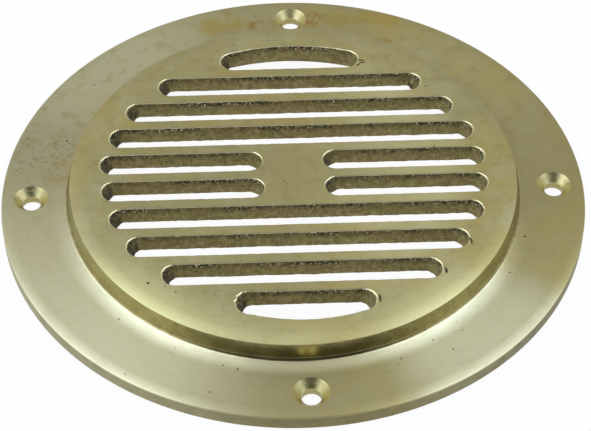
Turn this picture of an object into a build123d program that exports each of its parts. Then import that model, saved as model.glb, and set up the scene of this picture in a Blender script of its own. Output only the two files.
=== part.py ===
from build123d import *
from math import radians, sqrt, tan
import os

# Round cast brass vent grate, in millimetres. A flat flange takes the screws, and the disc inside it
# stands proud, is hollow underneath and is cut through by rows of long slots.
# The origin is the middle of the flange's back face, +Z points out of the grate, and the slots run along X.

# Flange
flange_d = 165.0            # outside diameter
flange_t = 4.6              # thickness
flange_w = 19.6             # from the rim in to the raised disc

# Raised disc
rise = 5.95                 # height of its top above the flange
plate_t = 4.6               # thickness of the slotted plate
wall_t = 5.0                # thickness of the wall that steps up to it
draft = 8.0                 # lean of that wall, in degrees, on both of its sides

# Slots
slot_w = 7.35
bar_w = 3.35                # bar left between two rows
slot_land = 8.4             # from the edge of the disc to the ends of the slots
bridge_w = 17.0             # solid left in the middle of the two innermost rows
slot_draft = 8.0            # lean of the slots' walls, in degrees: they narrow towards the back

# Screw holes, drilled by hand in two pairs that stand a little off centre
screw_d = 5.2               # clearance hole for a 5 mm screw
sink_d = 9.7                # mouth of the countersink
sink_angle = 90.0           # full angle of the screw's head, in degrees
screw_inset = 8.3           # from the rim in to a screw's axis
side_pair_y = -1.2          # the left and right holes, along Y
end_pair_x = 1.9            # the front and back holes, along X

# Edges. Polishing has rolled the two outer edges over: how far in, and how far down at the edge itself
rim_roll_w = 2.0
rim_roll_drop = 0.35
disc_roll_w = 3.0
disc_roll_drop = 0.8
cove_w = 2.5                # hollow curve at the foot of the step, out along the flange
cove_rise = 1.4             # and up the wall
slot_break = 0.4            # bevel around each slot's mouth
recess_bevel = 2.0          # in the corner of the hollow

flange_r = flange_d / 2
disc_r = flange_r - flange_w
top_z = flange_t + rise
recess_z = top_z - plate_t
pitch = slot_w + bar_w
slot_field_r = disc_r - slot_land
slot_end_r = slot_w / 2
rows_each_side = int(slot_field_r / pitch)


def rolled(start, end, along):
    """A curve that leaves a flat face smoothly and ends at an edge."""
    return TangentArc(start, end, tangent=(along, 0))


def body():
    """The casting before it is cut: half of its section, turned about Z."""
    disc_edge = (disc_r, top_z - disc_roll_drop)
    rim_edge = (flange_r, flange_t - rim_roll_drop)
    foot_z = flange_t + cove_rise
    bevel_z = recess_z - recess_bevel

    def wall_r(z):
        return disc_r + (disc_edge[1] - z) * tan(radians(draft))

    foot = (wall_r(foot_z), foot_z)
    disc_roll_start = (disc_r - disc_roll_w, top_z)
    cove_start = (foot[0] + cove_w, flange_t)
    rim_roll_start = (flange_r - rim_roll_w, flange_t)
    outline = [
        Line((0, top_z), disc_roll_start),
        rolled(disc_roll_start, disc_edge, 1),
        Line(disc_edge, foot),
        rolled(cove_start, foot, -1),
        Line(cove_start, rim_roll_start),
        rolled(rim_roll_start, rim_edge, 1),
        Polyline(
            rim_edge,
            (flange_r, 0),
            (wall_r(0) - wall_t, 0),
            (wall_r(bevel_z) - wall_t, bevel_z),
            (wall_r(recess_z) - wall_t - recess_bevel, recess_z),
            (0, recess_z),
            (0, top_z),
        ),
    ]
    return revolve(Plane.XZ * make_face(outline), Axis.Z)


def slot_row(y, bridged):
    """A round-ended slot whose ends touch the slot field's circle, or two with the bridge between them."""
    reach = sqrt((slot_field_r - slot_end_r) ** 2 - y**2)
    if not bridged:
        return Pos(0, y) * SlotCenterToCenter(2 * reach, slot_w)
    start = bridge_w / 2 + slot_end_r
    half = Pos((start + reach) / 2, y) * SlotCenterToCenter(reach - start, slot_w)
    return half + mirror(half, Plane.YZ)


def end_slot(y):
    """The outermost slot: straight on its inner side, and out to the slot field's circle on the other."""
    segment = Circle(slot_field_r - slot_end_r) & Pos(0, y) * Rectangle(
        2 * slot_field_r, 2 * slot_field_r, align=(Align.CENTER, Align.MIN)
    )
    return offset(segment, slot_end_r)


def slots():
    """Every slot on one side of the X axis, and the same again mirrored across it."""
    rows = [slot_row((i + 0.5) * pitch, bridged=(i == 0)) for i in range(rows_each_side - 1)]
    rows.append(end_slot((rows_each_side - 0.5) * pitch))
    half = Sketch() + rows
    outlines = Pos(0, 0, top_z) * (half + mirror(half, Plane.XZ))
    return extrude(outlines, top_z, dir=(0, 0, -1), taper=slot_draft)


def screw_holes():
    """Two pairs of countersunk holes: left and right, then front and back."""
    reach = flange_r - screw_inset
    places = [(-reach, side_pair_y), (reach, side_pair_y), (end_pair_x, -reach), (end_pair_x, reach)]
    hole = CounterSinkHole(screw_d / 2, sink_d / 2, flange_t, sink_angle)
    return [Pos(x, y, flange_t) * hole for x, y in places]


def vent_grate():
    grate = body() - slots() - screw_holes()
    slot_mouths = grate.faces().sort_by(Axis.Z)[-1].inner_wires().edges()
    return chamfer(slot_mouths, slot_break)


os.makedirs("parts", exist_ok=True)
export_step(vent_grate(), "parts/vent_grate.step")
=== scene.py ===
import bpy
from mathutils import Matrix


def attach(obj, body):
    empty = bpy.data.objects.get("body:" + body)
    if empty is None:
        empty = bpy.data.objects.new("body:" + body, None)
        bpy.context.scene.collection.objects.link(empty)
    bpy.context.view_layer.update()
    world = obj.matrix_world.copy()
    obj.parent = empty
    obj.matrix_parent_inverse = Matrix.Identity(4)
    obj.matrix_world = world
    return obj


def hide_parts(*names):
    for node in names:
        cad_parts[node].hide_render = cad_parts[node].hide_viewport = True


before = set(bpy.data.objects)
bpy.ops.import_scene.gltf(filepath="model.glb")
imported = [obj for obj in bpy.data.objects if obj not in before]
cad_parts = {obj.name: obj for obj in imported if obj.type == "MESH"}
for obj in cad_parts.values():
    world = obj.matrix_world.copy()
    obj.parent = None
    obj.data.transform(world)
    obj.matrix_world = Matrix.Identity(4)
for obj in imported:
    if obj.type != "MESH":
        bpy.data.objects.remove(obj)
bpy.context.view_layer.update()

import math

import bmesh
import bpy
from mathutils import Matrix, Vector, noise

# The blank: one round brass sand casting, a flat screw flange around a raised disc that is hollow underneath.
# Its half-section is drawn as bare corners, each corner is rounded as the polishing wheel leaves it, and the
# section is spun about Z. The disc is linished along the slots and the flange is turned against a belt.
MM = 0.001
TOP_Z = 10.55
FLANGE_Z = 4.6
RECESS_Z = 5.95
DISC_R = 62.95
DISC_EDGE_Z = 9.97
RIM_R = 82.5
SPIN_STEPS = 300
section_corners = [  # radius, height, rounding along both sides of the corner
    (0, TOP_Z, 0),
    (60.9, TOP_Z, 1.9),
    (DISC_R, DISC_EDGE_Z, 0.12),
    (63.95, 5.3, 0.8),
    (66.9, FLANGE_Z, 2.2),
    (80.7, FLANGE_Z, 1.3),
    (RIM_R, 4.22, 0.14),
    (RIM_R, 0, 0.35),
    (59.27, 0, 0.6),
    (58.43, RECESS_Z, 2.0),
    (0, RECESS_Z, 0),
]
# The step's darker finish reaches a little way down into the hollow curve at its foot, as a band of painted
# shade along the step's foot.
COVE_R, COVE_Z = 64.5, 5.0  # where the step's wall runs out into the hollow curve at its foot
LINISHED, TURNED, STEP, AS_CAST, BRIGHT = range(5)
OLIVE = (0.40, 0.355, 0.165)
GOLD = (0.44, 0.365, 0.135)
PALE = (0.46, 0.44, 0.27)
SOOT_AND_SHADE = (0.045, 0.036, 0.022)


def spun_blank():
    bm = bmesh.new()
    corners = [bm.verts.new((r * MM, 0, z * MM)) for r, z, _ in section_corners]
    bm.faces.new(corners)
    for corner, (_, _, rounding) in zip(corners, section_corners):
        if rounding:
            bmesh.ops.bevel(
                bm, geom=[corner], offset=rounding * MM, offset_type="ABSOLUTE", affect="VERTICES",
                segments=4 if rounding < 0.5 else 9, profile=0.5, material=-1,
            )
    bmesh.ops.delete(bm, geom=bm.faces[:], context="FACES_ONLY")
    axis_edges = [e for e in bm.edges if all(v.co.x < 1e-7 for v in e.verts)]
    bmesh.ops.delete(bm, geom=axis_edges, context="EDGES")
    bmesh.ops.spin(bm, geom=bm.verts[:] + bm.edges[:], cent=(0, 0, 0), axis=(0, 0, 1), angle=math.tau,
                   steps=SPIN_STEPS, use_merge=True)
    bmesh.ops.remove_doubles(bm, verts=bm.verts[:], dist=1e-6)
    bmesh.ops.recalc_face_normals(bm, faces=bm.faces[:])
    for face in bm.faces:
        middle = face.calc_center_median() / MM
        r = math.hypot(middle.x, middle.y)
        if middle.z > DISC_EDGE_Z - 0.12:
            face.material_index = LINISHED
        elif DISC_R - 0.1 < r < COVE_R and middle.z > COVE_Z:
            face.material_index = STEP
        elif r > DISC_R and middle.z > 0.05:
            face.material_index = TURNED
        else:
            face.material_index = AS_CAST
    return bm


class Tone:
    """A socket in one tree of nodes. Sums written on it add Math nodes."""

    def __init__(self, tree, socket=None):
        self.tree, self.socket = tree, socket

    def node(self, kind, settings=(), sockets=(), output=0):
        made = self.tree.nodes.new("ShaderNode" + kind)
        for name, value in dict(settings).items():
            setattr(made, name, value)
        for name, value in dict(sockets).items():
            if isinstance(value, Tone):
                self.tree.links.new(value.socket, made.inputs[name])
            else:
                made.inputs[name].default_value = value
        return Tone(self.tree, made.outputs[output] if made.outputs else None)

    def maths(self, operation, *values):
        return self.node("Math", {"operation": operation}, enumerate(values))

    def __add__(self, other):
        return self.maths("ADD", self, other)

    def __sub__(self, other):
        return self.maths("SUBTRACT", self, other)

    def __rsub__(self, other):
        return self.maths("SUBTRACT", other, self)

    def __mul__(self, other):
        return self.maths("MULTIPLY", self, other)

    __radd__, __rmul__ = __add__, __mul__

    def axis(self, name):
        """X, Y or Z of a place or a direction."""
        return self.node("SeparateXYZ", {}, {0: self}, output=name)

    def length(self):
        return self.node("VectorMath", {"operation": "LENGTH"}, {0: self}, output="Value")

    def stepped(self, low, high):
        """0 up to the low value, 1 from the high value on, and a smooth rise between them."""
        return self.node("MapRange", {"interpolation_type": "SMOOTHSTEP"},
                         {"Value": self, "From Min": low, "From Max": high})

    def grain(self, scale, detail=2.0, stretch=(1, 1, 1)):
        """Noise over this place, finer as the scale rises, in features per millimetre."""
        along = self.node("VectorMath", {"operation": "MULTIPLY"}, {0: self, 1: stretch})
        return self.node("TexNoise", {},
                         {"Vector": along, "Scale": scale, "Detail": detail, "Roughness": 0.55})

    def near(self, place, radius):
        """1 at a place on the surface, 0 beyond the radius."""
        apart = self.node("VectorMath", {"operation": "DISTANCE"}, {0: self, 1: place}, output="Value")
        return 1 - apart.stepped(radius * 0.2, radius)

    def between(self, under, over):
        """One colour where this mask is 0 and the other where it is 1."""
        # Inputs 6 and 7 are the Mix node's two colours, and output 2 is the colour it makes of them.
        under, over = (c if isinstance(c, Tone) else (*c, 1) for c in (under, over))
        return self.node("Mix", {"data_type": "RGBA"}, {0: self, 6: under, 7: over}, output=2)


def bare_nodes(holder):
    """The emptied node tree of a material or of the world."""
    holder.use_nodes = True
    holder.node_tree.nodes.clear()
    return Tone(holder.node_tree)


def new_finish(name):
    """A bare material, and the places on the piece, in millimetres, that its patterns start from."""
    finish = bpy.data.materials.new(name)
    where = bare_nodes(finish).node("TexCoord", output="Object")
    return finish, where.node("VectorMath", {"operation": "SCALE"}, {0: where, "Scale": 1 / MM})


def brass_shader(place, colour, roughness, height, depth, fixed=()):
    normal = place.node("Bump", {}, {"Strength": 1.0, "Distance": depth * MM, "Height": height})
    sockets = {"Base Color": colour, "Roughness": roughness, "Normal": normal, **dict(fixed)}
    shader = place.node("BsdfPrincipled", {}, sockets)
    place.node("OutputMaterial", {}, {"Surface": shader})


DULL = (0.25, 0.215, 0.09)
FLECK = (0.24, 0.19, 0.07)
DISC_SECTOR_HIGHLIGHT = (0.62, 0.59, 0.28)
BAR_SHEEN = (0.62, 0.58, 0.30)


def linished_finish():
    finish, place = new_finish("linished_brass")
    radius = place.length()
    clouds = place.grain(0.03, 3)
    patches = place.grain(0.11, 3)
    mottle = place.grain(0.28, 4)
    strokes = place.grain(1.0, 3, (0.05, 2.6, 1))
    pits = place.grain(1.15, 2).stepped(0.70, 0.77)
    colour = (clouds.stepped(0.4, 0.62) * 0.75).between(OLIVE, GOLD)
    colour = (patches.stepped(0.45, 0.7) * 0.35).between(colour, PALE)
    colour = ((1 - mottle.stepped(0.3, 0.5)) * 0.3).between(colour, DULL)
    colour = (strokes.stepped(0.55, 0.8) * 0.2).between(colour, SOOT_AND_SHADE)
    colour = (pits * 0.6).between(colour, SOOT_AND_SHADE)
    specks = place.near((-24, -46, TOP_Z), 42) * place.grain(0.9, 3).stepped(0.54, 0.7)
    colour = (specks * 0.35).between(colour, FLECK)
    # Painted highlight: the land near the disc's edge is paler at the front left, the front right and, less,
    # the front, where the soft boxes' highlights fall.
    left_highlight = place.near((-42, -52, TOP_Z), 34)
    right_highlight = place.near((36, -54, TOP_Z), 28)
    front_highlight = place.near((-4, -57, TOP_Z), 26) * 0.5
    edge_highlight = radius.stepped(50, 63) * (left_highlight + right_highlight + front_highlight)
    colour = (edge_highlight * 0.75).between(colour, DISC_SECTOR_HIGHLIGHT)
    # Painted sheen: the bars inside the slotted field grow paler towards the right (+X).
    bar_sheen = place.axis("X").stepped(2, 30) * (1 - radius.stepped(44, 56))
    colour = (bar_sheen * (0.4 + patches * 0.4)).between(colour, BAR_SHEEN)
    roughness = 0.25 + patches * 0.12 + strokes * 0.1 + radius.stepped(46, 60) * 0.11
    height = strokes * 0.35 + place.grain(0.16, 1) * 3.0 - pits * 1.2
    brass_shader(place, colour, roughness, height, 0.012,
                 {"Metallic": 1.0, "Anisotropic": 0.35, "Anisotropic Rotation": 0.25})
    return finish


STEP_BROWN = (0.33, 0.28, 0.125)


def step_finish():
    finish, place = new_finish("step_brass")
    patches = place.grain(0.2, 4)
    dirt = place.grain(0.9, 3).stepped(0.55, 0.75)
    colour = patches.stepped(0.4, 0.65).between(STEP_BROWN, OLIVE)
    colour = (dirt * 0.4).between(colour, SOOT_AND_SHADE)
    height = patches + place.grain(0.5, 2)
    brass_shader(place, colour, 0.16 + patches * 0.1, height, 0.03, {"Metallic": 1.0})
    return finish


SECTOR_HIGHLIGHT = (0.61, 0.58, 0.35)
COVE_HIGHLIGHT = (0.86, 0.84, 0.58)
BLOTCH = (0.30, 0.235, 0.08)
YELLOWED = (0.42, 0.31, 0.07)
TARNISH = (0.36, 0.21, 0.05)
SPECKLE = (0.2, 0.15, 0.06)
SIDE_DULL = (0.14, 0.125, 0.065)
yellow_stains = [  # place and reach
    ((-22.5, 71.3, FLANGE_Z), 6), ((-16, 72.2, FLANGE_Z), 6), ((17, 73.5, FLANGE_Z), 6),
    ((25, 73.5, FLANGE_Z), 7), ((32, 72.4, FLANGE_Z), 7), ((-67, 9, FLANGE_Z), 7),
]
orange_stains = [((8.8, 73.6, FLANGE_Z), 5.0), ((-8.8, 71.2, FLANGE_Z), 4.0), ((31.5, 62.5, 7), 4.0)]


def turned_finish():
    finish, place = new_finish("turned_brass")
    flat = place.node("VectorMath", {"operation": "MULTIPLY"}, {0: place, 1: (1, 1, 0)})
    radius = flat.length()
    outwards = place.node("VectorMath", {"operation": "NORMALIZE"}, {0: flat})
    x, y, level = outwards.axis("X"), outwards.axis("Y"), place.axis("Z")
    around = place.node("CombineXYZ", {}, {0: x * 9, 1: y * 9, 2: radius * 2.4 + level * 2.4})
    rings = around.grain(1.0, 3)
    clouds = place.grain(0.035, 3)
    patches = place.grain(0.13, 4)
    pits = place.grain(0.95, 2).stepped(0.71, 0.78)
    front = (0 - y).stepped(0.4, 0.9)
    front_left = x * -0.788 - y * 0.616
    front_right = x * 0.64 - y * 0.77
    back_left = y - x
    colour = (clouds.stepped(0.42, 0.6) * (0.6 - front * 0.4)).between(OLIVE, GOLD)
    # The left half of the flange is paler: partly a pale film on the metal, partly painted sheen from the
    # stronger left soft box.
    colour = ((0.2 - x).stepped(0.0, 0.9) * 0.8).between(colour, PALE)
    # Painted highlights: the flange is paler in the sectors at the front left and front right where the soft
    # boxes' highlights fall, and a little at the back left.
    colour = (front_right.stepped(0.91, 1.0) * 0.6).between(colour, PALE)
    highlight_sectors = (front_left.stepped(0.68, 0.95) + front_right.stepped(0.92, 0.99)
              + back_left.stepped(1.25, 1.41) * 0.5)
    colour = (highlight_sectors * 0.65).between(colour, SECTOR_HIGHLIGHT)
    # Painted highlight: the hollow curve at the step's foot is much paler at the front and a little in the
    # highlight sectors.
    in_cove = 1 - radius.stepped(65.5, 69)
    colour = (in_cove * (front * 0.45 + highlight_sectors * 0.08)).between(colour, COVE_HIGHLIGHT)
    colour = (patches.stepped(0.5, 0.75) * 0.25).between(colour, PALE)
    blotches = 1 - place.grain(0.2, 4).stepped(0.3, 0.5)
    colour = (blotches * (0.1 + y.stepped(-0.3, 0.4) * 0.25)).between(colour, BLOTCH)
    for spot, size in yellow_stains:
        stain = place.near(spot, size) * patches.stepped(0.35, 0.52)
        colour = (stain * 0.7).between(colour, YELLOWED)
    for spot, size in orange_stains:
        stain = place.near(spot, size) * place.grain(0.5, 4).stepped(0.4, 0.6)
        colour = stain.between(colour, TARNISH)
    speckles = place.near((-71, 17, FLANGE_Z), 17) * place.grain(0.7, 3).stepped(0.52, 0.66)
    colour = (speckles * 0.45).between(colour, SPECKLE)
    colour = (rings.stepped(0.55, 0.85) * 0.2).between(colour, SOOT_AND_SHADE)
    colour = (pits * 0.6).between(colour, SOOT_AND_SHADE)
    # The rim's side is darker and rougher than the face, and darker still towards the right (+X).
    side = 1 - level.stepped(3.7, 4.15)
    side_darkening = 0.3 + place.grain(0.25, 3) * 0.4 + x.stepped(0.2, 0.8) * 0.3
    colour = (side * side_darkening).between(colour, SIDE_DULL)
    roughness = 0.27 + patches * 0.1 + rings * 0.1 + side * 0.12
    height = rings * 0.3 + place.grain(0.12, 1) * 3.0 - pits * 1.2
    brass_shader(place, colour, roughness, height, 0.012,
                 {"Metallic": 1.0, "Anisotropic": 0.7, "Anisotropic Rotation": 0.25})
    return finish


# The slots are left by loose sand cores, so their walls are rough and no two are quite alike. Each core is a
# circle pushed out to the ends of its row and raised in thin layers. Below its round mouth it narrows, its
# ends move in and their corners slant; at the top it is bevelled, where polishing breaks the slot's edge.
SLOT_W = 7.35
PITCH = 10.7
SLOT_FIELD_R = 54.5
BRIDGE_W = 17.0
CORE_R = SLOT_W / 2
SPINE_R = SLOT_FIELD_R - CORE_R
PLATE_T = TOP_Z - RECESS_Z
DRAFT = math.tan(math.radians(8))
BEVEL = 0.21
END_ROW_PULL = 0.075  # share of their length that the two end slots lose on the way down
CORE_EDGE = 0.75  # longest edge around a core
row_places = [(i + 0.5) * PITCH for i in range(5)]
layer_depths = [5.8, PLATE_T, 4.0, 3.45, 2.9, 2.4, 1.9, 1.5, 1.1, 0.8, 0.55, 0.37,
                BEVEL, 0.14, 0.07, 0.0, -0.35]
back_end_shifts = [  # how far each row's left and right ends stand to the right, from the middle row outwards
    (-0.5, 0.5), (-0.4, 0.65), (-0.8, 0.7), (-0.4, 1.1), (-0.1, 1.3),
]
front_end_shifts = [(0.2, 0.35), (0.4, 0.4), (0.35, 0.35), (1.2, 0.9), (2.6, 0.6)]
ragged_ends = [  # place, reach and amount
    (Vector((-17.5, -48.2, 9.6)), 5.4, 1.6),
    (Vector((20.5, 46.6, 9)), 3.4, 0.3),
    (Vector((36.3, 40.0, 6.6)), 3.3, 2.6),
]
CAST_BROWN = (0.27, 0.225, 0.085)
CAST_LIGHT = (0.40, 0.345, 0.15)
BACK_TARNISH = (0.15, 0.11, 0.045)
GLINT = (0.85, 0.8, 0.55)


def in_end_row(y):
    return abs(y) >= row_places[-1]


def row_reach(y):
    return math.sqrt(SPINE_R ** 2 - y * y)


def core_centre(along, ends, y):
    """Where the core's own circle sits for a point of its mouth that looks along this direction."""
    if not in_end_row(y):
        return Vector((ends[1] if along.x > 0 else ends[0], y, 0))
    if along.y * math.copysign(1, y) > abs(y) / SPINE_R:
        return along * SPINE_R
    return Vector((math.copysign(row_reach(y), along.x), y, 0))


def end_shape(x, y):
    """How far the core's end at x moves in, and how much flatter its round gets, on the way down."""
    if in_end_row(y):
        return (0.0, 0.4)
    if abs(x) < BRIDGE_W:
        return (0.5, 0.1)
    return (0.0, 1.7) if x < 0 else (0.3, 1.0)


def narrowed(p, ends, y):
    """Where a point straight below the mouth's outline lies on the narrowing core."""
    depth = max(0.0, TOP_Z - p.z)
    deep = min(depth / PLATE_T, 1.0)
    sunk = math.sqrt(deep)
    pull = 1 - END_ROW_PULL * sunk if in_end_row(y) else 1
    if in_end_row(y) and abs(p.y) > abs(y) and abs(p.x) / p.xy.length < row_reach(y) / SPINE_R:
        return Vector((p.x * pull, p.y)) * (1 - DRAFT * depth / SLOT_FIELD_R)
    x = min(max(p.x, ends[0]), ends[1])
    along = (p.xy - Vector((x, y))).normalized()
    across = (x - ends[0]) / (ends[1] - ends[0])
    left, right = (end_shape(end, y) for end in ends)
    moved = sunk * (left[0] * (1 - across) - right[0] * across)
    half_length = CORE_R - sunk * (left if across < 0.5 else right)[1]
    half_width = CORE_R - DRAFT * depth
    roundness = 2 if in_end_row(y) else 2 - 0.6 * min(1.0, 2 * deep)
    reach = (abs(along.x) ** roundness + abs(along.y) ** roundness) ** (-1 / roundness)
    return Vector((
        (x + moved + along.x * half_length * reach) * pull,
        y + along.y * half_width * reach,
    ))


def core_swell(p):
    """How far a point of the core stands out beyond the straight wall, in millimetres."""
    depth = TOP_Z - p.z
    calm = 0.3 if depth < 0.5 else 1.0
    lumps = noise.noise(p * 0.42) * 0.14 + noise.noise(p * 1.1 + Vector((7, 3, 1))) * 0.12
    long_wear = 0.1 * noise.noise(Vector((p.x, p.y, 0)) * 0.5)
    short_wear = 0.06 * noise.noise(Vector((p.x, p.y, 3)) * 1.3)
    bevel = max(0.0, BEVEL + long_wear + short_wear - depth)
    torn = sum(amount * max(0.0, 1 - (p - spot).length / size) * noise.noise(p * 0.9)
               for spot, size, amount in ragged_ends)
    return lumps * calm + bevel + torn


def sand_core(ends, y, shifts):
    bm = bmesh.new()
    bmesh.ops.create_circle(bm, segments=96, radius=1.0)
    foot = Vector((0, 0, TOP_Z - layer_depths[0]))
    for vert in bm.verts:
        along = vert.co.normalized()
        vert.co = (core_centre(along, ends, y) + along * CORE_R + foot) * MM
    while long_edges := [e for e in bm.edges if e.calc_length() > CORE_EDGE * MM]:
        bmesh.ops.subdivide_edges(bm, edges=long_edges, cuts=1)
    loop = bm.edges[:]
    for below, above in zip(layer_depths, layer_depths[1:]):
        made = bmesh.ops.extrude_edge_only(bm, edges=loop)["geom"]
        raised = [v for v in made if isinstance(v, bmesh.types.BMVert)]
        bmesh.ops.translate(bm, verts=raised, vec=(0, 0, (below - above) * MM))
        loop = [e for e in made if isinstance(e, bmesh.types.BMEdge)]
    bmesh.ops.holes_fill(bm, edges=bm.edges[:], sides=0)
    bmesh.ops.recalc_face_normals(bm, faces=bm.faces[:])
    row_end = row_reach(y) + CORE_R
    for vert in bm.verts:
        p = vert.co / MM
        outwards = vert.normal.xy.normalized()
        across = (p.x / row_end + 1) / 2
        shift = Vector((shifts[0] * (1 - across) + shifts[1] * across, 0))
        vert.co.xy = (narrowed(p, ends, y) + outwards * core_swell(p) + shift) * MM
    for face in bm.faces:
        polished = TOP_Z - face.calc_center_median().z / MM < BEVEL - 0.05
        face.material_index = BRIGHT if polished else AS_CAST
    return bm


def joined(parts):
    whole = bmesh.new()
    mesh = bpy.data.meshes.new("joined")
    for part in parts:
        part.to_mesh(mesh)
        part.free()
        whole.from_mesh(mesh)
    bpy.data.meshes.remove(mesh)
    return whole


def sand_cores():
    cores = []
    start = BRIDGE_W / 2 + CORE_R
    for side, end_shifts in ((1, back_end_shifts), (-1, front_end_shifts)):
        for row, y in enumerate(row_places):
            reach = row_reach(y)
            halves = [(-reach, -start), (start, reach)] if row == 0 else [(-reach, reach)]
            cores += [sand_core(ends, y * side, end_shifts[row]) for ends in halves]
    return joined(cores)


def as_cast_finish():
    finish, place = new_finish("as_cast_brass")
    level = place.axis("Z")
    sand = place.grain(2.6, 4)
    lumps = place.grain(0.7, 3)
    crumbs = place.grain(1.2, 2)
    colour = lumps.stepped(0.35, 0.7).between(CAST_BROWN, CAST_LIGHT)
    colour = ((1 - sand.stepped(0.35, 0.5)) * 0.6).between(colour, SOOT_AND_SHADE)
    colour = (sand.stepped(0.62, 0.7) * 0.5).between(colour, PALE)
    on_back = 1 - level.stepped(RECESS_Z, RECESS_Z + 0.3)
    colour = (on_back * place.grain(0.05, 4).stepped(0.4, 0.62) * 0.6).between(colour, BACK_TARNISH)
    colour = (on_back * place.grain(0.16, 3).stepped(0.58, 0.7) * 0.4).between(colour, PALE)
    rough_lengths = place.grain(0.09, 2).stepped(0.42, 0.6)
    under_edge = level.stepped(8.4, 9.9) * (1 - crumbs.stepped(0.45, 0.62))
    colour = (under_edge * (0.35 + rough_lengths * 0.55)).between(colour, SOOT_AND_SHADE)
    glints = level.stepped(9.0, 9.6) * rough_lengths * place.grain(1.7, 1).stepped(0.62, 0.68)
    colour = glints.between(colour, GLINT)
    # Painted shade: the ends of the slots that face right (+X), at each slot's left, are darkened nearly to
    # black, a little less towards the top.
    facing_right = place.node("TexCoord", output="Normal").axis("X").stepped(0.2, 0.9)
    left_end = facing_right * level.stepped(RECESS_Z - 0.2, RECESS_Z)
    left_end_shade = 1 - level.stepped(6.8, 10.2) * 0.35 - crumbs.stepped(0.5, 0.65) * 0.35
    colour = (left_end * left_end_shade).between(colour, SOOT_AND_SHADE)
    height = sand * 0.6 + lumps * 0.7
    brass_shader(place, colour, 0.5 + sand * 0.25, height, 0.22, {"Metallic": 0.85})
    return finish


# Small flaws of the casting and of its use: gas pits that polishing has opened, crescent chips beside the
# right-hand slot ends, a tear at the back slot and a nick in one bar. Each is a squashed lump that is cut
# from the face.
PIT_DEPTH = 0.25
CHIP_DEPTH = 0.5
flange_pits = [  # x, y, radius
    (-58, 45.9, 0.3), (-65, 21.9, 0.35), (-76.4, 23.2, 0.3), (-69.3, 15.4, 0.25), (-62.6, -19, 0.25),
    (63.4, -21.6, 0.42), (55.9, -34.1, 0.3), (57.7, -34.9, 0.25), (41.4, -51.9, 0.3), (34.6, -58, 0.25),
    (39.7, -61.3, 0.25), (25.9, -64, 0.25), (-48.3, -47.5, 0.3), (-42, -51, 0.25), (-17, -66, 0.35),
    (-24.3, -73.3, 0.25), (-46.3, -66.4, 0.25), (-20.8, -64.5, 0.25),
]
disc_pits = [
    (-2.7, -3, 0.3), (-40.3, -40.2, 0.4), (40.5, 35, 0.3), (-33, -43.5, 0.25), (-35.8, -41.5, 0.2),
    (0.3, 12.5, 0.25),
]
chips = [  # x, y, length, width, turn from the Y axis
    (47.5, -27.9, 2.6, 0.7, 12), (39.7, -38.4, 2.8, 0.7, 8), (21.3, -47.8, 3.0, 0.8, 8),
    (22.0, 47.3, 2.4, 0.6, 76), (22.3, 46.2, 2.1, 0.55, 98), (21.1, 45.3, 1.4, 0.5, 125),
    (40.6, 9.3, 0.9, 0.8, 0),
]


def flaw(x, y, z, length, width, depth, turn):
    """A squashed lump, bent like a slot's end, with its length turned from the Y axis."""
    bm = bmesh.new()
    bmesh.ops.create_icosphere(bm, subdivisions=2, radius=1.0)
    for vert in bm.verts:
        vert.co *= 1 + 0.5 * noise.noise(vert.co * 1.7 + Vector((x, y, 0)))
        vert.co.x -= (vert.co.y * length / 2) ** 2 / (SLOT_W * width / 2)
    shape = (Matrix.Translation(Vector((x, y, z)) * MM) @ Matrix.Rotation(math.radians(turn), 4, "Z")
             @ Matrix.Diagonal((width / 2 * MM, length / 2 * MM, depth * MM, 1)))
    bmesh.ops.transform(bm, matrix=shape, verts=bm.verts[:])
    for face in bm.faces:
        face.material_index = AS_CAST
    return bm


def pit(x, y, z, r):
    return flaw(x, y, z, 2 * r, 2 * r, PIT_DEPTH, 40 * x)


def flaws():
    lumps = [pit(x, y, FLANGE_Z, r) for x, y, r in flange_pits]
    lumps += [pit(x, y, TOP_Z, r) for x, y, r in disc_pits]
    lumps += [flaw(x, y, TOP_Z, length, width, CHIP_DEPTH, turn) for x, y, length, width, turn in chips]
    return joined(lumps)


# The four screw holes are drilled and countersunk by hand after polishing, so they are bright inside,
# with the fine rings that the countersink's cutting edges leave.
SCREW_R = 2.6
SINK_R = 4.85
SCREW_REACH = 74.2
BORE_R = SCREW_R + 0.1
BORE_LIP = 0.3
DRILLED = (0.50, 0.44, 0.20)
BROKEN_EDGE_SHEEN = (0.67, 0.62, 0.35)
screw_places = [(-SCREW_REACH, -1.2), (SCREW_REACH, -1.2), (1.9, -SCREW_REACH), (1.9, SCREW_REACH)]


def drill_point(x, y):
    bm = bmesh.new()
    over = 0.6
    profile = [
        (0, -1),
        (BORE_R + BORE_LIP, -1),
        (BORE_R + BORE_LIP, 0),
        (BORE_R, 0.4),
        (BORE_R, FLANGE_Z - SINK_R + BORE_R),
        (SINK_R + over, FLANGE_Z + over),
        (0, FLANGE_Z + over),
    ]
    verts = [bm.verts.new(((x + r) * MM, y * MM, z * MM)) for r, z in profile]
    edges = [bm.edges.new(pair) for pair in zip(verts, verts[1:])]
    bmesh.ops.spin(bm, geom=verts + edges, cent=(x * MM, y * MM, 0), axis=(0, 0, 1), angle=math.tau,
                   steps=64, use_merge=True)
    bmesh.ops.remove_doubles(bm, verts=bm.verts[:], dist=1e-6)
    bmesh.ops.recalc_face_normals(bm, faces=bm.faces[:])
    for face in bm.faces:
        face.material_index = BRIGHT
    return bm


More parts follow.
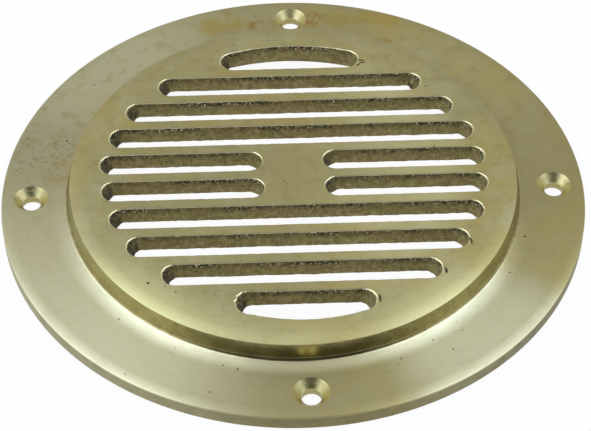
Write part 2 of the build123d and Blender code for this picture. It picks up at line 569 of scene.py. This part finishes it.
def bright_finish():
    finish, place = new_finish("bright_brass")
    level = place.axis("Z")
    rings = place.node("TexNoise", {"noise_dimensions": "1D"}, {"W": level, "Scale": 7.0, "Detail": 3.0})
    patches = place.grain(0.4, 3)
    colour = (rings.stepped(0.5, 0.75) * 0.4).between(DRILLED, GOLD)
    colour = ((1 - level.stepped(1.6, 2.5)) * 0.6).between(colour, CAST_BROWN)
    # The slots' bevelled mouths are paler brass: partly freshly polished metal, partly a painted highlight
    # along the broken edge.
    colour = level.stepped(9.0, 10.0).between(colour, BROKEN_EDGE_SHEEN)
    brass_shader(place, colour, 0.24 + patches * 0.16, rings, 0.05, {"Metallic": 1.0})
    return finish


# The finished casting, in one piece: the flaws are cut from the blank, then the slots and the screw holes,
# and each surface keeps its own finish. Edges stay crisp where a cast or a bright surface meets another one.
def as_object(name, bm):
    mesh = bpy.data.meshes.new(name)
    bm.to_mesh(mesh)
    bm.free()
    piece = bpy.data.objects.new(name, mesh)
    bpy.context.scene.collection.objects.link(piece)
    return piece


casting = as_object("grate_casting", spun_blank())
drills = joined([drill_point(x, y) for x, y in screw_places])
cutters = [as_object("flaws", flaws()), as_object("cores", sand_cores()), as_object("drills", drills)]
finishes = [linished_finish(), turned_finish(), step_finish(), as_cast_finish(), bright_finish()]
for piece in [casting, *cutters]:
    for finish in finishes:
        piece.data.materials.append(finish)
for cutter in cutters:
    cut = casting.modifiers.new(cutter.name, "BOOLEAN")
    cut.operation, cut.solver, cut.object = "DIFFERENCE", "EXACT", cutter
depsgraph = bpy.context.evaluated_depsgraph_get()
cut_mesh = bpy.data.meshes.new_from_object(casting.evaluated_get(depsgraph))
casting.modifiers.clear()
casting.data = cut_mesh
cut_mesh.name = "grate_casting"
for cutter in cutters:
    bpy.data.objects.remove(cutter)
cut_mesh.shade_smooth()
cut_mesh.set_sharp_from_angle(angle=math.radians(32))
bm = bmesh.new()
bm.from_mesh(cut_mesh)
for edge in bm.edges:
    kinds = {face.material_index for face in edge.link_faces}
    if len(kinds) == 2 and kinds & {AS_CAST, BRIGHT}:
        edge.smooth = False
bm.to_mesh(cut_mesh)
bm.free()
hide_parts("vent_grate")
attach(casting, "root")

# The table: a white board under the grate. The picture and the metal see it as plain white, it keeps a faint
# shadow of the grate, and from below it is see-through.
board = bmesh.new()
bmesh.ops.create_grid(board, x_segments=1, y_segments=1, size=3.0)
table = as_object("table", board)
table.location.z = -0.1 * MM
white_board = bpy.data.materials.new("white_board")
board_tone = bare_nodes(white_board)
direct_rays = [board_tone.node("LightPath", output=ray)
               for ray in ("Is Camera Ray", "Is Glossy Ray", "Is Transmission Ray")]
seen_directly = board_tone.maths("MAXIMUM", direct_rays[0], direct_rays[1])
seen_directly = board_tone.maths("MAXIMUM", seen_directly, direct_rays[2])
board_face = board_tone.node("MixShader", {}, {
    0: seen_directly * 0.95,
    1: board_tone.node("BsdfDiffuse", {}, {"Color": (0.8, 0.8, 0.8, 1)}),
    2: board_tone.node("Emission", {}, {"Color": (1, 1, 1, 1), "Strength": 1.0}),
})
from_below = board_tone.node("NewGeometry", output="Backfacing")
see_through = board_tone.node("BsdfTransparent")
board_tone.node("OutputMaterial", {}, {
    "Surface": board_tone.node("MixShader", {}, {0: from_below, 1: board_face, 2: see_through}),
})
table.data.materials.append(white_board)

# The studio: plain soft light from all round, whiter at table height, dimmer behind the camera,
# with a soft box at the left and a weaker one at the right. The picture's background is plain white.
LAMP_DISTANCE = 1.2
COOL_WHITE = (0.82, 0.96, 1.3)
studio = bpy.data.worlds.new("studio")
bpy.context.scene.world = studio
air = bare_nodes(studio)
looking = air.node("TexCoord", output="Generated")


def towards(direction):
    """1 straight along a direction, 0 across it and -1 the other way."""
    return air.node("VectorMath", {"operation": "DOT_PRODUCT"}, {0: looking, 1: direction}, output="Value")


rise = looking.axis("Z")
camera_side = towards((0, -0.83, 0.56))
left_side = towards((-1, 0, 0))
walls = 0.64 + left_side * 0.12 + rise.stepped(0.75, 1.0) * 0.25
room = walls * (1 - camera_side.stepped(0.58, 0.9) * 0.87)
horizon = (1 - rise.stepped(0.04, 0.3)) * air.maths("ABSOLUTE", left_side).stepped(0.2, 0.7)
glow = room + horizon * (1 - room) * (1 - camera_side.stepped(0.5, 0.85))
only_camera = air.node("LightPath", output="Is Camera Ray")
sky = air.node("MixShader", {}, {
    0: only_camera,
    1: air.node("Background", {}, {"Color": (1, 1, 1, 1), "Strength": glow}),
    2: air.node("Background", {}, {"Color": (1, 1, 1, 1), "Strength": 1.0}),
})
air.node("OutputWorld", {}, {"Surface": sky})


def soft_box(name, azimuth, elevation, width, height, power):
    lamp = bpy.data.lights.new(name, "AREA")
    lamp.shape = "RECTANGLE"
    lamp.size, lamp.size_y = width, height
    lamp.energy = power
    lamp.color = COOL_WHITE
    around = Matrix.Rotation(math.radians(azimuth), 3, "Z")
    upwards = Matrix.Rotation(math.radians(-elevation), 3, "Y")
    place = around @ upwards @ Vector((LAMP_DISTANCE, 0, 0))
    holder = bpy.data.objects.new(name, lamp)
    holder.location = place
    holder.rotation_euler = place.to_track_quat("Z", "Y").to_euler()
    bpy.context.scene.collection.objects.link(holder)


soft_box("left_soft_box", 180, 52, 1.3, 1.1, 8)
soft_box("right_soft_box", 1, 52, 1.2, 1.0, 6.5)

# The camera: a long lens in front of the grate and a little to its left, 46 degrees above the table.
# It looks at a point on the table close to the grate's middle.
camera_data = bpy.data.cameras.new("camera")
camera_data.lens = 119.2
camera_data.sensor_width = 36
camera = bpy.data.objects.new("camera", camera_data)
camera.location = (-0.01463, -0.39213, 0.3982)
looked_at = Vector((0.000387, -0.006389, 0))
camera.rotation_euler = (camera.location - looked_at).to_track_quat("Z", "Y").to_euler()
bpy.context.scene.collection.objects.link(camera)
bpy.context.scene.camera = camera
bpy.context.scene.view_settings.view_transform = "Standard"
